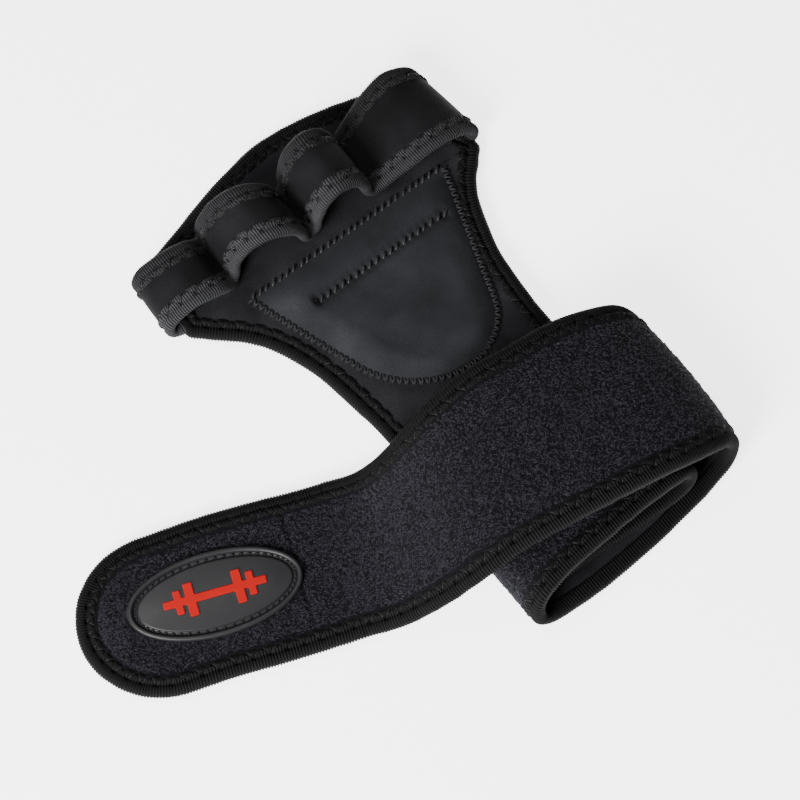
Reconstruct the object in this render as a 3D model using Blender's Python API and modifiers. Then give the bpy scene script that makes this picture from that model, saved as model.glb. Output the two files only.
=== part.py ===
"""Hand grip: a neoprene palm grip with finger loops and a rolled wrist strap, hand-facing side up.

Lengths are in millimetres and turned into metres by MM. X runs across the palm, Y towards the fingers, Z up.
The layout points are measured from a point on the palm's heel; CENTRE moves the finished object over the origin.
"""
import math

import bmesh
import bpy
from mathutils import Vector

MM = 0.001
CENTRE = Vector((-28.0, 4.1, 0.0))
GAP = 0.3
SEAM_GAP = 0.7

# Cloth thicknesses and tape sizes.
NEOPRENE = 4.0
STRIP_THICKNESS = 2.8
TAPE_WIDTH = 5.6
TAPE_THICKNESS = 4.8
STRIP_TAPE_THICKNESS = 3.8

# Palm panel: edge points (x, y) from the wrist seam to the finger edge, and the finger edge from left to right.
PANEL_LEFT = ((-13.4, -21.7), (-13.6, -9.4), (-14.5, 0.6), (-16.8, 18.2), (-21.5, 33.3), (-28.6, 44.5),
              (-37.8, 53.5), (-42.0, 62.5), (-42.0, 73.0), (-41.6, 83.4))
PANEL_RIGHT = ((54.6, -21.7), (54.8, -9.0), (55.2, 4.0), (56.9, 19.0), (61.0, 34.5), (66.2, 45.0),
               (69.0, 52.0), (69.5, 60.0), (68.2, 74.0), (66.6, 88.0))
PANEL_FINGER = ((-42.3, 87.4), (-34.0, 88.7), (-11.6, 95.2), (1.9, 98.7), (17.7, 100.7), (35.2, 98.8),
                (52.9, 94.2), (66.6, 88.0))
FINGER_TAPE_SPAN = (0.80, 6.56)
FINGER_BLEND = 0.76
PANEL_Z_WRIST = 7.6
PANEL_Z_PALM = 3.3
RAMP = (-22.0, 30.0)

# Pad on the palm: each side as x at y = 0, slope, and the width and start of its rounding into the heel.
PAD_HEEL = -6.4
PAD_TOP = 56.0
PAD_SIDES = ((0.5, -0.349, 20.0, 15.0), (42.0, 0.322, -14.0, 8.0))
PAD_HEIGHT = 4.6
PAD_SHOULDER = 9.0
COVER_THICKNESS = 0.8
FOAM_MARGIN = 0.08
FOAM_END_MARGIN = 3.0
FOAM_DROP = 1.5
CHANNEL_Y = 41.3
CHANNEL_X = (-5.0, 52.0)
CHANNEL_DEPTH = 2.2
CHANNEL_WIDTH = 2.2
CHANNEL_FADE = 3.0

# Grip patch under the palm: the part of the panel it covers, across and along.
PATCH_ACROSS = (0.05, 0.95)
PATCH_ALONG = (0.30, 0.90)
PATCH_THICKNESS = 1.0

# Finger strip: wrist-side and finger-side edge points (x, y, z) of its middle surface, left to right.
STRIP_NEAR = ((-42.4, 59.5, 3.4), (-45.6, 60.3, 4.0), (-46.9, 60.8, 7.0), (-44.4, 61.8, 10.4), (-36.0, 61.4, 13.8),
              (-27.5, 60.6, 13.0), (-21.6, 61.6, 8.0),
              (-18.4, 63.4, 9.2), (-16.6, 64.8, 14.4), (-11.6, 64.6, 20.0), (-4.6, 62.6, 22.8), (2.4, 60.8, 20.2),
              (6.2, 60.0, 14.4), (7.4, 59.9, 9.8),
              (10.2, 60.4, 7.6),
              (12.9, 60.9, 9.8), (14.0, 61.4, 15.0), (17.4, 61.8, 20.6), (23.4, 62.0, 23.4), (29.6, 61.6, 20.6),
              (32.8, 61.0, 14.6), (34.0, 60.6, 9.4),
              (37.4, 60.2, 7.7),
              (46.0, 59.6, 11.0), (54.0, 58.9, 14.6), (63.0, 58.6, 15.6), (71.4, 58.2, 13.2), (75.4, 57.4, 8.8),
              (74.4, 57.2, 4.4), (70.4, 57.9, 3.4))
STRIP_FAR = ((-42.4, 84.0, 3.4), (-45.0, 84.2, 4.0), (-46.1, 84.5, 7.4), (-43.4, 84.9, 11.2), (-36.0, 84.2, 14.6),
             (-28.0, 83.4, 13.6), (-21.8, 83.6, 8.0),
             (-18.6, 87.2, 9.0), (-16.8, 87.0, 15.0), (-12.0, 86.4, 21.4), (-5.0, 84.9, 25.2), (2.2, 82.4, 22.6),
             (6.2, 80.8, 15.4), (7.4, 81.0, 9.8),
             (10.2, 82.0, 7.6),
             (12.9, 83.4, 9.8), (13.8, 84.8, 15.6), (17.2, 86.4, 22.0), (23.4, 86.8, 25.8), (29.8, 86.0, 22.4),
             (33.0, 85.0, 15.4), (34.2, 85.0, 9.4),
             (37.2, 86.2, 7.7),
             (45.2, 89.0, 9.8), (52.6, 91.2, 12.4), (60.8, 92.2, 14.2), (68.0, 90.6, 12.8), (71.0, 88.7, 8.8),
             (70.4, 87.4, 4.6), (67.6, 86.8, 3.4))

# Wrist strap: near and far edge points (x, y, z) of its middle surface, from the wrist seam to the tongue.
STRAP_NEAR = ((1.0, -82.5, 7.6), (20.0, -83.0, 7.6), (40.0, -83.7, 7.6), (49.5, -83.8, 7.8),
              (54.2, -83.2, 9.7), (56.0, -82.4, 13.9), (54.0, -82.0, 18.2), (48.5, -82.2, 20.6),
              (34.0, -82.4, 21.0), (16.0, -83.6, 20.8), (3.0, -84.8, 20.4), (-5.4, -86.8, 18.0),
              (-8.8, -88.8, 12.2), (-7.4, -90.2, 6.0), (-1.0, -91.0, 2.8),
              (12.0, -91.0, 2.4), (34.0, -89.4, 2.4), (50.0, -87.2, 2.4), (63.0, -85.2, 2.9),
              (70.2, -84.0, 6.4), (73.0, -82.8, 13.6), (70.6, -82.2, 21.0), (64.5, -82.2, 26.2),
              (55.0, -81.6, 29.8), (43.0, -79.8, 32.0), (29.0, -77.8, 33.0), (13.0, -75.4, 32.6), (-4.0, -72.6, 30.0),
              (-18.0, -71.3, 25.4), (-32.3, -69.0, 17.6), (-46.0, -64.8, 9.2), (-58.0, -59.2, 4.3),
              (-69.0, -54.3, 3.5), (-79.9, -50.2, 3.5), (-97.3, -43.8, 3.5), (-114.0, -38.6, 3.5))
STRAP_FAR = ((2.0, -22.3, 7.6), (20.0, -22.3, 7.6), (40.0, -22.3, 7.6), (49.5, -22.4, 7.8),
             (54.2, -22.6, 9.7), (56.0, -22.8, 13.6), (54.0, -22.9, 17.6), (48.5, -23.0, 19.8),
             (34.0, -23.0, 20.0), (16.0, -23.8, 19.6), (0.0, -25.6, 19.0), (-9.0, -27.0, 17.2),
             (-13.2, -28.4, 11.4), (-11.0, -30.0, 4.8), (-4.0, -31.0, 2.5),
             (10.0, -31.2, 2.4), (33.0, -29.4, 2.4), (49.0, -27.4, 2.4), (62.0, -26.2, 2.9),
             (69.4, -26.8, 6.6), (72.4, -28.2, 13.6), (71.2, -27.2, 20.6), (67.2, -23.8, 25.8),
             (58.5, -20.8, 29.4), (46.0, -17.6, 32.0), (30.0, -15.4, 33.0), (15.0, -13.8, 32.6), (1.0, -14.2, 29.4),
             (-9.4, -15.2, 23.6), (-19.0, -15.4, 15.0), (-27.5, -13.6, 8.0), (-38.5, -8.5, 4.2),
             (-49.9, -4.2, 3.5), (-60.5, 0.2, 3.5), (-77.7, 6.4, 3.5), (-95.5, 11.6, 3.5))
# How far the strap bulges outwards midway across it: (place along the strap, height).
STRAP_CROWN = ((18.0, 0.0), (20.0, 2.0), (22.0, 1.4), (26.0, 1.0), (29.0, 2.0), (31.0, 0.8), (32.0, 0.0))
# Where each length of the strap starts and ends, counted in layout points.
INNER_TURN = (0.0, 10.5)
OUTER_TURN = (10.5, 20.0)
TOP_LAYER = (20.0, 32.0)
TONGUE = (32.0, 35.0)
# The distance between the first two layout points of the tongue.
TONGUE_FIRST_STEP = 11.6

# Tongue end, hook patch, badge and its mark, in the tongue's own directions.
ALONG = Vector((-0.9360, 0.3520, 0.0))
ACROSS = Vector((0.3520, 0.9360, 0.0))
TONGUE_Z = 3.5
END_CENTRE = Vector((-104.75, -13.5, 0.0))
END_HALF_WIDTH = 26.75
END_LENGTH = 28.5
HOOK_SIZE = (48.0, 37.0, 1.2)
HOOK_CENTRE = Vector((-82.5, -19.2, 0.0))
HOOK_CORNER = 9.0
BADGE_CENTRE = Vector((-88.1, -19.0, 0.0))
BADGE_SEMI = (28.9, 14.2)
BADGE_PROFILE = ((0.0, 0.0), (0.0, 1.1), (0.6, 1.8), (1.5, 1.8), (2.1, 1.1), (3.0, 1.1), (3.4, 1.5), (9.0, 1.8))
MARK_QUARTER = ((6.4, 1.3), (6.4, 5.6), (9.4, 5.6), (9.4, 1.3), (10.8, 1.3), (10.8, 4.0), (13.2, 4.0),
                (13.2, 1.3), (17.0, 1.3))
MARK_THICKNESS = 0.7

# Mesh steps: per layout point along a sheet, across a sheet, round the tongue end and round the badge.
STEPS = 3
PANEL_STEPS = 3
ACROSS_STEPS = 3
PAD_STEPS = 14
END_STEPS = 18
BADGE_STEPS = 40
TAPE_CORNER_STEPS = 2
TAPE_ROUND = 0.45

BLACK_CLOTH = (0.012, 0.012, 0.013, 1.0)
BLACK_TAPE = (0.016, 0.016, 0.017, 1.0)
CHARCOAL = (0.018, 0.018, 0.020, 1.0)
BLACK_PILE = (0.010, 0.010, 0.012, 1.0)
FOAM_GREY = (0.060, 0.060, 0.062, 1.0)
GLOSS_BLACK = (0.008, 0.008, 0.009, 1.0)
RED = (0.720, 0.030, 0.020, 1.0)


def clear_scene():
    """Remove every object the file opened with."""
    for old in list(bpy.data.objects):
        bpy.data.objects.remove(old, do_unlink=True)


def principled(name, colour, roughness, sheen=0.0):
    """Return a Principled material."""
    material = bpy.data.materials.new(name)
    material.use_nodes = True
    shader = material.node_tree.nodes["Principled BSDF"]
    shader.inputs["Base Color"].default_value = colour
    shader.inputs["Roughness"].default_value = roughness
    shader.inputs["Sheen Weight"].default_value = sheen
    material.diffuse_color = colour
    return material


def spline(points, place):
    """Return the point of a Catmull-Rom curve at a place counted in layout points."""
    last = len(points) - 1
    index = min(max(int(math.floor(place)), 0), last - 1)
    part = place - index
    p1 = Vector(points[index])
    p2 = Vector(points[index + 1])
    p0 = Vector(points[index - 1]) if index > 0 else p1 * 2.0 - p2
    p3 = Vector(points[index + 2]) if index + 2 <= last else p2 * 2.0 - p1
    a = p1 * 2.0
    b = p2 - p0
    c = p0 * 2.0 - p1 * 5.0 + p2 * 4.0 - p3
    d = p1 * 3.0 - p0 - p2 * 3.0 + p3
    return (a + b * part + c * part ** 2 + d * part ** 3) * 0.5


def blend(value, low, high):
    """Return 0 below low, 1 above high and a smooth step between."""
    part = min(max((value - low) / (high - low), 0.0), 1.0)
    return part * part * (3.0 - 2.0 * part)


def spread(start, stop, count):
    """Return count + 1 evenly spaced values from start to stop."""
    return [start + (stop - start) * i / count for i in range(count + 1)]


def add_object(name, mesh_data, material, collection):
    """Link a mesh to the collection under its own name and material."""
    mesh = bpy.data.meshes.new(name)
    bmesh.ops.recalc_face_normals(mesh_data, faces=mesh_data.faces)
    mesh_data.to_mesh(mesh)
    mesh_data.free()
    mesh.materials.append(material)
    made = bpy.data.objects.new(name, mesh)
    collection.objects.link(made)
    return made


def place_in_frame(point):
    """Turn a layout point in millimetres into a point of the finished object in metres."""
    return (Vector(point) - CENTRE) * MM


def mapped_grid(surface, rows, columns):
    """Return a grid whose corners follow surface(row, column)."""
    grid = bmesh.new()
    bmesh.ops.create_grid(grid, x_segments=len(rows) - 1, y_segments=len(columns) - 1, size=0.5)
    for vertex in grid.verts:
        row = round((vertex.co.x + 0.5) * (len(rows) - 1))
        column = round((vertex.co.y + 0.5) * (len(columns) - 1))
        vertex.co = place_in_frame(surface(rows[row], columns[column]))
    return grid


def sheet(name, surface, rows, columns, thickness, material, collection):
    """Make a cloth sheet of even thickness about surface(row, column)."""
    made = add_object(name, mapped_grid(surface, rows, columns), material, collection)
    solidify = made.modifiers.new("thickness", "SOLIDIFY")
    solidify.thickness = thickness * MM
    solidify.offset = 0.0
    solidify.use_even_offset = True
    return made


def loft(name, rings, material, collection):
    """Join rings of points into one closed solid with capped ends."""
    solid = bmesh.new()
    made_rings = [[solid.verts.new(place_in_frame(point)) for point in ring] for ring in rings]
    for ring, following in zip(made_rings, made_rings[1:]):
        for i in range(len(ring)):
            j = (i + 1) % len(ring)
            solid.faces.new((ring[i], ring[j], following[j], following[i]))
    solid.faces.new(made_rings[0])
    solid.faces.new(made_rings[-1])
    return add_object(name, solid, material, collection)


def tape_section(thickness):
    """Return (inset, height) corners of a tape folded over an edge, rounded on its outer side."""
    radius = thickness * TAPE_ROUND
    flat = thickness / 2.0 - radius
    section = [(TAPE_WIDTH, -thickness / 2.0)]
    for side in (-1.0, 1.0):
        for step in spread(0.0, 1.0, TAPE_CORNER_STEPS):
            turn = (step if side < 0.0 else 1.0 - step) * math.pi / 2.0
            section.append((radius * (1.0 - math.sin(turn)), side * (flat + radius * math.cos(turn))))
    section.append((TAPE_WIDTH, thickness / 2.0))
    return section


def ruled(near, far, crown=None):
    """Return a function giving a point, unit normal and width of the surface between two edge curves."""
    def frame(place, part):
        near_point = spline(near, place)
        far_point = spline(far, place)
        across = far_point - near_point
        step = 0.02
        here = near_point.lerp(far_point, part)
        after = spline(near, place + step).lerp(spline(far, place + step), part)
        before = spline(near, place - step).lerp(spline(far, place - step), part)
        normal = across.cross(after - before).normalized()
        if crown:
            here = here + normal * crown(place) * 4.0 * part * (1.0 - part)
        here.z = max(here.z, TAPE_THICKNESS / 2.0)
        return here, normal, across.length
    return frame


def ruled_sheet(name, frame, span, thickness, material, collection):
    """Make the cloth between the two edge tapes of a ruled surface."""
    inset = TAPE_WIDTH + SEAM_GAP
    rings = []
    for place in spread(span[0], span[1], round((span[1] - span[0]) * STEPS)):
        width = frame(place, 0.5)[2]
        parts = [(inset + (width - 2.0 * inset) * part) / width for part in spread(0.0, 1.0, ACROSS_STEPS)]
        ring = []
        for height, line in ((-thickness / 2.0, parts), (thickness / 2.0, parts[::-1])):
            for part in line:
                point, normal, _ = frame(place, part)
                ring.append(point + normal * height)
        rings.append(ring)
    return loft(name, rings, material, collection)


def ruled_tape(name, frame, span, far_side, thickness, material, collection):
    """Make the tape along one edge of a ruled surface."""
    rings = []
    for place in spread(span[0], span[1], round((span[1] - span[0]) * STEPS)):
        width = frame(place, 0.5)[2]
        ring = []
        for inset, height in tape_section(thickness):
            part = 1.0 - inset / width if far_side else inset / width
            point, normal, _ = frame(place, part)
            ring.append(point + normal * height)
        rings.append(ring)
    return loft(name, rings, material, collection)


def crown_height(place):
    """Return the strap's outward bulge at a place along it."""
    for (start, low), (stop, high) in zip(STRAP_CROWN, STRAP_CROWN[1:]):
        if start <= place <= stop:
            return low + (high - low) * (place - start) / (stop - start)
    return 0.0


def trimmed(frame, span, trim_start, trim_stop):
    """Return a span shortened by half a seam gap at the ends that meet another length."""
    ends = []
    for place, trim, sign in ((span[0], trim_start, 1.0), (span[1], trim_stop, -1.0)):
        step = 0.05
        speed = (frame(place + step, 0.5)[0] - frame(place - step, 0.5)[0]).length / (2.0 * step)
        ends.append(place + sign * SEAM_GAP / 2.0 / speed if trim else place)
    return ends[0], ends[1]


def panel_height(y):
    """Return the height of the panel's middle surface."""
    return PANEL_Z_WRIST + (PANEL_Z_PALM - PANEL_Z_WRIST) * blend(y, RAMP[0], RAMP[1])


def edge_point(points, place, inset, turn):
    """Return a point beside a flat edge curve, inset towards the side given by turn (1 left, -1 right)."""
    step = 0.02
    direction = (spline(points, place + step) - spline(points, place - step)).normalized()
    return spline(points, place) + Vector((-direction.y, direction.x)) * turn * inset


def panel_point(across, along):
    """Return a point of the panel's cloth inside its tapes."""
    inset = TAPE_WIDTH + GAP
    last = len(PANEL_LEFT) - 1
    left = edge_point(PANEL_LEFT, along * last, inset, -1.0)
    right = edge_point(PANEL_RIGHT, along * last, inset, 1.0)
    left_top = edge_point(PANEL_LEFT, last, inset, -1.0)
    right_top = edge_point(PANEL_RIGHT, last, inset, 1.0)
    start, stop = FINGER_TAPE_SPAN
    finger = edge_point(PANEL_FINGER, start + (stop - start) * across, inset, -1.0)
    point = left.lerp(right, across)
    point += (finger - left_top.lerp(right_top, across)) * blend(along, FINGER_BLEND, 2.0 - FINGER_BLEND) * 2.0
    return Vector((point.x, point.y, panel_height(point.y)))


def panel_tape(name, points, span, turn, steps, material, collection):
    """Make the tape along one flat edge of the panel."""
    rings = []
    for place in spread(span[0], span[1], steps):
        ring = []
        for inset, height in tape_section(TAPE_THICKNESS):
            point = edge_point(points, place, inset, turn)
            ring.append(Vector((point.x, point.y, panel_height(point.y) + height)))
        rings.append(ring)
    return loft(name, rings, material, collection)


def pad_side(y, side):
    """Return x of one side of the pad's outline."""
    start, slope, round_width, round_from = side
    part = max(round_from - y, 0.0) / (round_from - PAD_HEEL)
    return start + slope * y + round_width * (1.0 - math.sqrt(max(1.0 - part * part, 0.0)))


def shoulder(distance):
    """Return the pad's share of its full height at a distance inside its outline."""
    part = 1.0 - min(max(distance / PAD_SHOULDER, 0.0), 1.0)
    return math.sqrt(1.0 - part * part)


def pad_point(across, y):
    """Return a point of the pad cover's middle surface."""
    left = pad_side(y, PAD_SIDES[0])
    right = pad_side(y, PAD_SIDES[1])
    x = left + (right - left) * across
    height = PAD_HEIGHT * shoulder(min(x - left, right - x)) * shoulder(min(y - PAD_HEEL, PAD_TOP - y))
    inside = blend(x, CHANNEL_X[0], CHANNEL_X[0] + CHANNEL_FADE)
    inside -= blend(x, CHANNEL_X[1] - CHANNEL_FADE, CHANNEL_X[1])
    groove = CHANNEL_DEPTH * inside * math.exp(-(((y - CHANNEL_Y) / CHANNEL_WIDTH) ** 2))
    base = panel_height(y) + NEOPRENE / 2.0 + GAP + COVER_THICKNESS / 2.0
    return Vector((x, y, base + height - groove))


def pad_rows(low, high):
    """Return y places along the pad, closer together at the heel and the channel."""
    bend = PAD_SIDES[0][3]
    heel = [bend - (bend - low) * math.cos(turn) for turn in spread(0.0, math.pi / 2.0, PAD_STEPS // 2)]
    channel = (CHANNEL_Y - 2.0 * CHANNEL_WIDTH, CHANNEL_Y + 2.0 * CHANNEL_WIDTH)
    middle = spread(bend, channel[0], 3)[1:-1]
    return heel + middle + spread(channel[0], channel[1], PAD_STEPS // 2) + spread(channel[1], high, 4)[1:]


def make_pad(cover_material, foam_material, collection):
    """Make the pad's cover and the foam it holds."""
    sheet("palm_pad_cover", pad_point, spread(0.0, 1.0, PAD_STEPS), pad_rows(PAD_HEEL, PAD_TOP), COVER_THICKNESS,
          cover_material, collection)

    def top(across, y):
        return pad_point(across, y) - Vector((0.0, 0.0, FOAM_DROP))

    columns = spread(FOAM_MARGIN, 1.0 - FOAM_MARGIN, PAD_STEPS)
    foam = mapped_grid(top, columns, pad_rows(PAD_HEEL + FOAM_END_MARGIN, PAD_TOP - FOAM_END_MARGIN))
    grown = bmesh.ops.extrude_face_region(foam, geom=foam.faces[:])
    for vertex in (item for item in grown["geom"] if isinstance(item, bmesh.types.BMVert)):
        base = panel_height(vertex.co.y / MM + CENTRE.y) + NEOPRENE / 2.0 + GAP
        vertex.co.z = base * MM
    add_object("palm_pad_foam", foam, foam_material, collection)


def tongue_outline(inset):
    """Return the tongue's outline from the near side of its seam round its end to the far side."""
    start = TONGUE[0] + GAP / 2.0 / TONGUE_FIRST_STEP
    places = spread(start, TONGUE[1], STEPS)
    near = [spline(STRAP_NEAR, place) + ACROSS * inset for place in places]
    far = [spline(STRAP_FAR, place) - ACROSS * inset for place in reversed(places)]
    end = []
    for turn in spread(-math.pi / 2.0, math.pi / 2.0, END_STEPS)[1:-1]:
        forward = (END_LENGTH - inset) * math.cos(turn)
        sideways = (END_HALF_WIDTH - inset) * math.sin(turn)
        end.append(END_CENTRE + ALONG * forward + ACROSS * sideways)
    return [Vector((point.x, point.y, TONGUE_Z)) for point in near + end + far]


def flat_plate(name, outline, bottom, thickness, material, collection):
    """Make a plate from a filled flat curve."""
    curve = bpy.data.curves.new(name, "CURVE")
    curve.dimensions = "2D"
    curve.fill_mode = "BOTH"
    curve.extrude = thickness / 2.0 * MM
    line = curve.splines.new("POLY")
    line.points.add(len(outline) - 1)
    for point, corner in zip(line.points, outline):
        placed = place_in_frame((corner[0], corner[1], 0.0))
        point.co = (placed.x, placed.y, 0.0, 1.0)
    line.use_cyclic_u = True
    curve.materials.append(material)
    made = bpy.data.objects.new(name, curve)
    made.location.z = (bottom + thickness / 2.0) * MM
    collection.objects.link(made)
    return made


def make_tongue(cloth, tape, collection):
    """Make the tongue's cloth and the tape round its end."""
    outline = tongue_outline(TAPE_WIDTH + GAP)
    flat_plate("strap_tongue", outline, TONGUE_Z - NEOPRENE / 2.0, NEOPRENE, cloth, collection)
    rings = []
    section = tape_section(TAPE_THICKNESS)
    lines = [tongue_outline(inset) for inset, _ in section]
    for i in range(len(lines[0])):
        rings.append([line[i] + Vector((0.0, 0.0, height)) for line, (_, height) in zip(lines, section)])
    loft("strap_tongue_tape", rings, tape, collection)


def make_hook_patch(material, collection):
    """Make the hook patch under the tongue."""
    patch = bmesh.new()
    bmesh.ops.create_cube(patch, size=1.0)
    for vertex in patch.verts:
        flat = HOOK_CENTRE + ALONG * vertex.co.x * HOOK_SIZE[0] + ACROSS * vertex.co.y * HOOK_SIZE[1]
        vertex.co = place_in_frame((flat.x, flat.y, (vertex.co.z + 0.5) * HOOK_SIZE[2]))
    corners = [edge for edge in patch.edges if abs(edge.verts[0].co.z - edge.verts[1].co.z) > HOOK_SIZE[2] * MM / 2.0]
    bmesh.ops.bevel(patch, geom=corners, offset=HOOK_CORNER * MM, segments=6, profile=0.5, affect="EDGES")
    add_object("hook_patch", patch, material, collection)


def make_badge(plate_material, mark_material, collection):
    """Make the oval badge plate and the raised mark on it."""
    bottom = TONGUE_Z + NEOPRENE / 2.0 + GAP
    rings = []
    for inset, height in BADGE_PROFILE:
        ring = []
        for turn in spread(0.0, 2.0 * math.pi, BADGE_STEPS)[:-1]:
            flat = BADGE_CENTRE + ALONG * (BADGE_SEMI[0] - inset) * math.cos(turn)
            flat = flat + ACROSS * (BADGE_SEMI[1] - inset) * math.sin(turn)
            ring.append(Vector((flat.x, flat.y, bottom + height)))
        rings.append(ring)
    loft("badge_plate", rings, plate_material, collection)
    outline = []
    for side, level in ((1.0, 1.0), (1.0, -1.0), (-1.0, -1.0), (-1.0, 1.0)):
        quarter = MARK_QUARTER if side * level > 0.0 else MARK_QUARTER[::-1]
        for x, y in quarter:
            outline.append(BADGE_CENTRE + ALONG * x * side + ACROSS * y * level)
    mark_bottom = bottom + BADGE_PROFILE[-1][1] + GAP
    flat_plate("badge_mark", outline, mark_bottom, MARK_THICKNESS, mark_material, collection)


def make_palm(cloth, tape, patch_material, collection):
    """Make the panel, its three tapes and the grip patch under it."""
    last = len(PANEL_LEFT) - 1
    rows = spread(0.0, 1.0, 2 * ACROSS_STEPS)
    sheet("palm_panel", panel_point, rows, spread(0.0, 1.0, last * PANEL_STEPS), NEOPRENE, cloth, collection)
    panel_tape("palm_tape_left", PANEL_LEFT, (0.0, last), -1.0, last * PANEL_STEPS, tape, collection)
    panel_tape("palm_tape_right", PANEL_RIGHT, (0.0, last), 1.0, last * PANEL_STEPS, tape, collection)
    panel_tape("palm_tape_fingers", PANEL_FINGER, FINGER_TAPE_SPAN, -1.0, 8 * PANEL_STEPS, tape, collection)

    def patch_point(across, along):
        drop = NEOPRENE / 2.0 + GAP + PATCH_THICKNESS / 2.0
        return panel_point(across, along) - Vector((0.0, 0.0, drop))

    sheet("grip_patch", patch_point, spread(*PATCH_ACROSS, 6), spread(*PATCH_ALONG, 16), PATCH_THICKNESS,
          patch_material, collection)


def make_strip(cloth, tape, collection):
    """Make the finger strip with its four loops and its two tapes."""
    frame = ruled(STRIP_NEAR, STRIP_FAR)
    span = (0.0, len(STRIP_NEAR) - 1.0)
    ruled_sheet("finger_strip", frame, span, STRIP_THICKNESS, cloth, collection)
    ruled_tape("finger_strip_tape_wrist_side", frame, span, False, STRIP_TAPE_THICKNESS, tape, collection)
    ruled_tape("finger_strip_tape_finger_side", frame, span, True, STRIP_TAPE_THICKNESS, tape, collection)


def make_strap(pile, tape, collection):
    """Make the three rolled lengths of the strap with their edge tapes."""
    frame = ruled(STRAP_NEAR, STRAP_FAR, crown_height)
    lengths = (("strap_inner_turn", INNER_TURN, False, True),
               ("strap_outer_turn", OUTER_TURN, True, True),
               ("strap_top", TOP_LAYER, True, True))
    for name, whole, trim_start, trim_stop in lengths:
        span = trimmed(frame, whole, trim_start, trim_stop)
        ruled_sheet(name, frame, span, NEOPRENE, pile, collection)
        ruled_tape(name + "_tape_near", frame, span, False, TAPE_THICKNESS, tape, collection)
        ruled_tape(name + "_tape_far", frame, span, True, TAPE_THICKNESS, tape, collection)


def main():
    """Build the whole grip."""
    clear_scene()
    collection = bpy.data.collections.new("hand_grip")
    bpy.context.scene.collection.children.link(collection)
    jersey = principled("jersey", BLACK_CLOTH, 0.75, 0.3)
    tape = principled("ribbed_tape", BLACK_TAPE, 0.8, 0.2)
    cover = principled("pad_jersey", CHARCOAL, 0.7, 0.3)
    foam = principled("foam", FOAM_GREY, 0.9)
    pile = principled("loop_pile", BLACK_PILE, 0.95, 0.5)
    rubber = principled("grip_rubber", BLACK_CLOTH, 0.6)
    hook = principled("hook_tape", BLACK_TAPE, 0.5)
    gloss = principled("badge_rubber", GLOSS_BLACK, 0.25)
    red = principled("badge_red", RED, 0.35)
    make_palm(jersey, tape, rubber, collection)
    make_pad(cover, foam, collection)
    make_strip(jersey, tape, collection)
    make_strap(pile, tape, collection)
    make_tongue(pile, tape, collection)
    make_hook_patch(hook, collection)
    make_badge(gloss, red, collection)


main()
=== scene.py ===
"""The looks of the hand grip: fleece strap, ribbed bindings, puffed pad, finger loops, stitches and badge.

Lengths are in millimetres in the CAD source's layout, and to_frame() turns them into metres of the frame.
Rows run along a cloth or a binding and columns run across it. Heights are measured from the cloth's middle.
"""
import math

import bmesh
import bpy
import numpy as np
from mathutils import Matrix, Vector


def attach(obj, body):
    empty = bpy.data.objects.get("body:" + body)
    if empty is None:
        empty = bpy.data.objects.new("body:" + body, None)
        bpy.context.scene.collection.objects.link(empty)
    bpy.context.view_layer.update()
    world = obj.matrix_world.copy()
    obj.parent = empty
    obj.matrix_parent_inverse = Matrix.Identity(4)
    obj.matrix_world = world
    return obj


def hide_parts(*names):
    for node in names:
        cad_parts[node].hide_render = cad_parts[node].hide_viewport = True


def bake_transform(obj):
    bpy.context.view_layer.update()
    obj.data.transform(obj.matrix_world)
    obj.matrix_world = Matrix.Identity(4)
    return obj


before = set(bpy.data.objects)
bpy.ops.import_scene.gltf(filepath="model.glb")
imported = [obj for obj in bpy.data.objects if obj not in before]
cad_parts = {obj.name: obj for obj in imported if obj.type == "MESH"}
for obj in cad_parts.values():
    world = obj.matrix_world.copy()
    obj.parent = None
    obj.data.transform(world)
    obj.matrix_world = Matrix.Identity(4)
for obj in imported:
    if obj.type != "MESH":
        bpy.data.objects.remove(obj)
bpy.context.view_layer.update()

MM = 0.001
CENTRE = np.array((-28.0, 4.1, 0.0))

# Cloth and binding sizes, as in the CAD.
NEOPRENE = 4.0
STRIP_THICKNESS = 2.8
TAPE_WIDTH = 5.6
TAPE_THICKNESS = 4.8
STRIP_TAPE_THICKNESS = 3.8
# Distance from an edge to the second line that steers its binding, and to where its cloth starts.
RAIL = 6.0
CLOTH_INSET = 4.7
# Step along an edge curve, in points, for its direction, and the samples taken of a strap edge.
PLACE_STEP = 0.02
EDGE_SAMPLES = 2400

# Palm panel edges (x, y), the height of its middle surface, and where it ramps from wrist to palm.
PANEL_LEFT = ((-13.4, -21.7), (-13.6, -9.4), (-14.5, 0.6), (-16.8, 18.2), (-21.5, 33.3), (-28.6, 44.5),
              (-39.0, 54.2), (-43.4, 60.2), (-42.0, 73.0), (-41.6, 83.4))
PANEL_RIGHT = ((54.6, -21.7), (54.8, -9.0), (55.2, 4.0), (56.9, 19.0), (61.0, 34.5), (65.8, 44.6),
               (71.8, 51.4), (75.0, 57.4), (68.2, 74.0), (66.6, 88.0))
PANEL_FINGER = ((-42.3, 87.4), (-34.0, 88.7), (-11.6, 95.2), (1.9, 98.7), (17.7, 100.7), (35.2, 98.8),
                (52.9, 94.2), (66.6, 88.0))
# In points of the edges: the stretch of the finger edge that ends the cloth, the stretch that its binding
# covers, and how far the left binding runs past its last point. The cloth bends to the finger edge from
# FINGER_BLEND on.
FINGER_TAPE_SPAN = (0.80, 6.56)
FINGER_BINDING_SPAN = (0.10, 6.94)
LEFT_BINDING_REACH = 0.28
FINGER_BLEND = 0.76
PANEL_Z_WRIST = 7.6
PANEL_Z_PALM = 3.3
RAMP = (-22.0, 30.0)

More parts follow.
